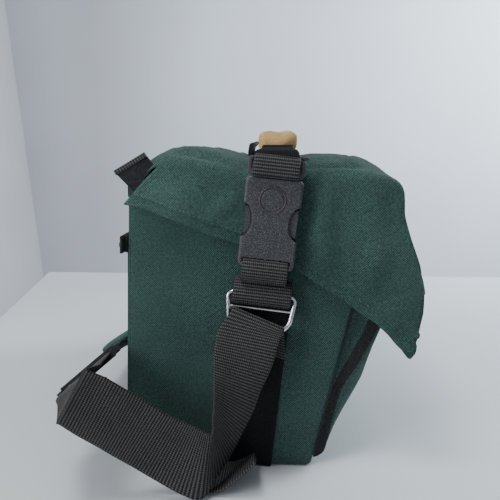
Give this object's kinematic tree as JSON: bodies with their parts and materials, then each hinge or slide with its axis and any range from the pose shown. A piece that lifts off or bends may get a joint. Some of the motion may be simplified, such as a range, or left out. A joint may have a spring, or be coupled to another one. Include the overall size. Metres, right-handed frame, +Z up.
{
  "type": "camera bag",
  "caption": "Soft padded camera bag with a hooded lid, end buckles, a carry handle, front and rear pockets, movable dividers and a webbing shoulder strap.",
  "frame": {"origin": "Middle of the base's underside, on the surface the bag stands on.", "axes": "+Z is up, X runs along the bag's length and the front with the flap faces -Y."},
  "size_m": [0.4808, 0.3265, 0.2965],
  "materials": {
    "green_nylon": "matte hunter-green woven nylon with a fine crosswise weave",
    "padding": "grey brushed lining over closed-cell foam",
    "webbing": "black ribbed nylon webbing",
    "zipper_tape": "black woven zipper tape",
    "hook_loop": "black hook-and-loop fastener",
    "suede": "tan suede with a fine nap",
    "steel": "bright plated steel wire",
    "plastic": "fine-grained dark grey acetal"
  },
  "bodies": {
    "root": {"back_foam": "padding", "back_panel": "green_nylon", "base_foam": "padding", "base_panel": "green_nylon", "front_foam": "padding", "front_loop_patch": "hook_loop", "front_panel": "green_nylon", "front_pocket_cheeks": "green_nylon", "front_pocket_face": "green_nylon", "front_pocket_floor": "green_nylon", "front_pocket_gussets": "green_nylon", "front_pocket_roof": "green_nylon", "front_zip_tape": "zipper_tape", "left_buckle_female": "plastic", "left_buckle_webbing": "webbing", "left_end_foam": "padding", "left_end_panel": "green_nylon", "left_load_webbing": "webbing", "left_ring_loop": "webbing", "rear_pocket_edges": "green_nylon", "rear_pocket_panel": "green_nylon", "rear_pocket_roof": "green_nylon", "rear_zip_tape": "zipper_tape", "right_buckle_female": "plastic", "right_buckle_webbing": "webbing", "right_end_foam": "padding", "right_end_panel": "green_nylon", "right_load_webbing": "webbing", "right_ring_loop": "webbing", "shoulder_pad": "green_nylon", "strap_left": "webbing", "strap_middle": "webbing", "strap_right": "webbing", "strap_tail": "webbing"},
    "lid": {"lid_top": "green_nylon", "lid_flap": "green_nylon", "flap_hook_patch": "hook_loop", "left_wing": "green_nylon", "right_wing": "green_nylon", "left_rear_tab": "hook_loop", "right_rear_tab": "hook_loop"},
    "handle": {"handle_webbing": "webbing", "handle_grip": "suede", "left_buckle_male": "plastic", "right_buckle_male": "plastic"},
    "left_prong_front_body": {"left_prong_front": "plastic"},
    "left_prong_back_body": {"left_prong_back": "plastic"},
    "left_ring_body": {"left_d_ring": "steel", "left_strap_loop": "webbing"},
    "left_divider_body": {"left_divider": "padding"},
    "right_prong_front_body": {"right_prong_front": "plastic"},
    "right_prong_back_body": {"right_prong_back": "plastic"},
    "right_ring_body": {"right_d_ring": "steel", "right_strap_loop": "webbing"},
    "right_divider_body": {"right_divider": "padding"},
    "rear_slider_body": {"rear_zip_slider": "steel"},
    "rear_pull_body": {"rear_zip_pull": "steel"},
    "front_slider_body": {"front_zip_slider": "steel"},
    "front_pull_body": {"front_zip_pull": "steel"},
    "adjuster_body": {"strap_adjuster": "plastic"}
  },
  "joints": [
    {"name": "lid_open", "type": "hinge", "parent": "root", "child": "lid", "pos_m": [0, 0.0715, 0.2503], "axis": [-1, 0, 0], "range_deg": [0, 110]},
    {"name": "handle_lift", "type": "slide", "parent": "root", "child": "handle", "axis": [0, -0.1074, 0.9942], "range_m": [0, 0.42]},
    {"name": "left_prong_front_squeeze", "type": "hinge", "parent": "handle", "child": "left_prong_front_body", "pos_m": [-0.1854, -0.06223, 0.25145], "axis": [1, 0, 0], "range_deg": [0, 6], "stiffness_Nm_per_rad": 0.2},
    {"name": "left_prong_back_squeeze", "type": "hinge", "parent": "handle", "child": "left_prong_back_body", "pos_m": [-0.1854, -0.03539, 0.25435], "axis": [-1, 0, 0], "range_deg": [0, 6], "stiffness_Nm_per_rad": 0.2},
    {"name": "right_prong_front_squeeze", "type": "hinge", "parent": "handle", "child": "right_prong_front_body", "pos_m": [0.1854, -0.06223, 0.25145], "axis": [1, 0, 0], "range_deg": [0, 6], "stiffness_Nm_per_rad": 0.2},
    {"name": "right_prong_back_squeeze", "type": "hinge", "parent": "handle", "child": "right_prong_back_body", "pos_m": [0.1854, -0.03539, 0.25435], "axis": [-1, 0, 0], "range_deg": [0, 6], "stiffness_Nm_per_rad": 0.2},
    {"name": "left_ring_swing", "type": "hinge", "parent": "root", "child": "left_ring_body", "pos_m": [-0.183, -0.03846, 0.157], "axis": [0, 0.9942, 0.1074], "range_deg": [-12, 75]},
    {"name": "right_ring_swing", "type": "hinge", "parent": "root", "child": "right_ring_body", "pos_m": [0.183, -0.03846, 0.157], "axis": [0, -0.9942, -0.1074], "range_deg": [-12, 75]},
    {"name": "left_divider_move", "type": "slide", "parent": "root", "child": "left_divider_body", "axis": [1, 0, 0], "range_m": [-0.06, 0.04]},
    {"name": "right_divider_move", "type": "slide", "parent": "root", "child": "right_divider_body", "axis": [1, 0, 0], "range_m": [-0.04, 0.06]},
    {"name": "rear_zip_slide", "type": "slide", "parent": "root", "child": "rear_slider_body", "axis": [1, 0, 0], "range_m": [-0.27, 0.04]},
    {"name": "rear_pull_flip", "type": "hinge", "parent": "rear_slider_body", "child": "rear_pull_body", "pos_m": [0.1225, 0.08621, 0.19723], "axis": [0, 0.04, -0.9992], "range_deg": [0, 150]},
    {"name": "front_zip_slide", "type": "slide", "parent": "root", "child": "front_slider_body", "axis": [1, 0, 0], "range_m": [-0.24, 0.05]},
    {"name": "front_pull_flip", "type": "hinge", "parent": "front_slider_body", "child": "front_pull_body", "pos_m": [0.0985, -0.14424, 0.171], "axis": [0, 1, 0], "range_deg": [0, 150]},
    {"name": "adjuster_slide", "type": "slide", "parent": "root", "child": "adjuster_body", "axis": [0.9835, 0.1063, -0.1462], "range_m": [-0.018, 0.022]}
  ],
  "couplings": [
    {"joint": "handle_lift", "follows": "lid_open", "m_per_rad": 0.215}
  ]
}
